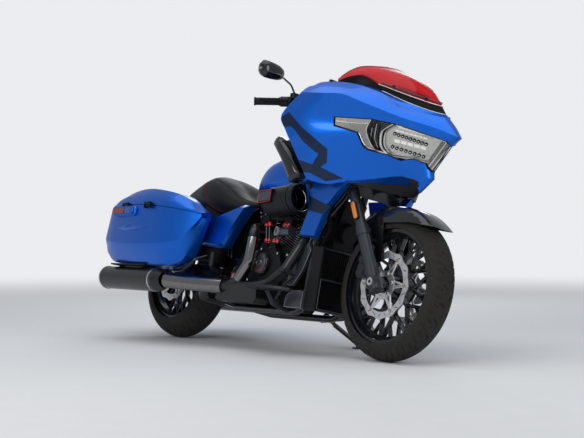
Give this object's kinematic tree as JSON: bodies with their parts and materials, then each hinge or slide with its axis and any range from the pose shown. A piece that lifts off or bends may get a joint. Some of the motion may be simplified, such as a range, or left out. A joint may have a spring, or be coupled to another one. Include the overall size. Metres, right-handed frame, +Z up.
{
  "type": "touring cruiser motorcycle",
  "caption": "Touring cruiser motorcycle with a frame-mounted fairing, open V-twin engine, turning wheels and steering, folding stand and opening saddlebags.",
  "frame": {"origin": "on the floor, in the middle of the parked machine's bounding box", "axes": "+X forwards, +Y to the rider's left, +Z up; the machine leans about 12 degrees to the left on its side stand"},
  "size_m": [2.406, 1.0612, 1.3454],
  "materials": {
    "paint": "gloss",
    "frame_black": "gloss",
    "engine_black": "wrinkle black",
    "cover_grey": "satin",
    "accent_red": "gloss",
    "cover_black": "satin",
    "exhaust_black": "satin",
    "shield": "gloss",
    "alloy_black": "gloss",
    "fork_black": "satin",
    "steel": "brushed",
    "dark_metal": "satin",
    "tyre": "matt",
    "rubber": "matt",
    "leather": "grained",
    "plastic": "satin",
    "lamp": "clear",
    "tail_red": "clear",
    "screen": "tinted"
  },
  "bodies": {
    "chassis": {"frame": "frame_black", "swingarm": "frame_black", "rear_axle": "steel", "rear_shocks": "dark_metal", "drive_belt": "rubber", "rear_caliper": "dark_metal", "crankcase": "engine_black", "cylinders": "engine_black", "rocker_covers": "cover_black", "primary_cover": "engine_black", "pushrods": "accent_red", "air_intake": "plastic", "exhaust_headers": "exhaust_black", "heat_shields": "shield", "mufflers": "exhaust_black", "tank": "paint", "fuel_cap": "dark_metal", "seat": "leather", "side_covers": "paint", "battery_box": "plastic", "rear_fender": "paint", "tail_lamps": "tail_red", "plate_holder": "plastic", "saddlebags": "paint", "bag_brackets": "frame_black", "fairing": "paint", "headlamp": "lamp", "windscreen": "screen", "fairing_deck": "plastic", "inner_fairing": "plastic", "scoops": "paint", "radiator": "engine_black", "engine_mounts": "cover_grey", "foot_controls": "dark_metal"},
    "steering": {"front_axle": "steel", "fork_sliders": "fork_black", "fork_tubes": "fork_black", "triple_clamps": "frame_black", "handlebar": "dark_metal", "grips": "rubber", "hand_controls": "plastic", "mirrors": "plastic", "front_fender": "plastic", "front_calipers": "dark_metal"},
    "front_wheel": {"front_tyre": "tyre", "front_rim": "alloy_black", "front_discs": "steel"},
    "rear_wheel": {"rear_tyre": "tyre", "rear_rim": "alloy_black", "rear_disc": "steel", "belt_pulley": "dark_metal"},
    "right_lid": {"right_lid": "paint"},
    "left_lid": {"left_lid": "paint"},
    "side_stand": {"side_stand": "frame_black"}
  },
  "joints": [
    {"name": "steering_turn", "type": "hinge", "parent": "chassis", "child": "steering", "pos_m": [0.61527, -0.01386, 0.88244], "axis": [-0.4381, 0.1838, 0.8799], "range_deg": [-26, 26]},
    {"name": "front_wheel_spin", "type": "hinge", "parent": "steering", "child": "front_wheel", "pos_m": [0.88405, -0.13268, 0.31363], "axis": [-0.0001, 0.9789, -0.2045], "continuous": true},
    {"name": "rear_wheel_spin", "type": "hinge", "parent": "chassis", "child": "rear_wheel", "pos_m": [-0.74095, -0.13094, 0.32248], "axis": [-0.0001, 0.9789, -0.2045], "continuous": true},
    {"name": "right_lid_open", "type": "hinge", "parent": "chassis", "child": "right_lid", "pos_m": [-0.74082, -0.48289, 0.71117], "axis": [1, 0, -0.0003], "range_deg": [0, 80]},
    {"name": "left_lid_open", "type": "hinge", "parent": "chassis", "child": "left_lid", "pos_m": [-0.74088, 0.34719, 0.53775], "axis": [-1, 0, 0.0003], "range_deg": [0, 80]},
    {"name": "side_stand_fold", "type": "hinge", "parent": "chassis", "child": "side_stand", "pos_m": [0.269, -0.00439, 0.15525], "axis": [0.194, 0.6968, 0.6905], "range_deg": [0, 90]}
  ]
}
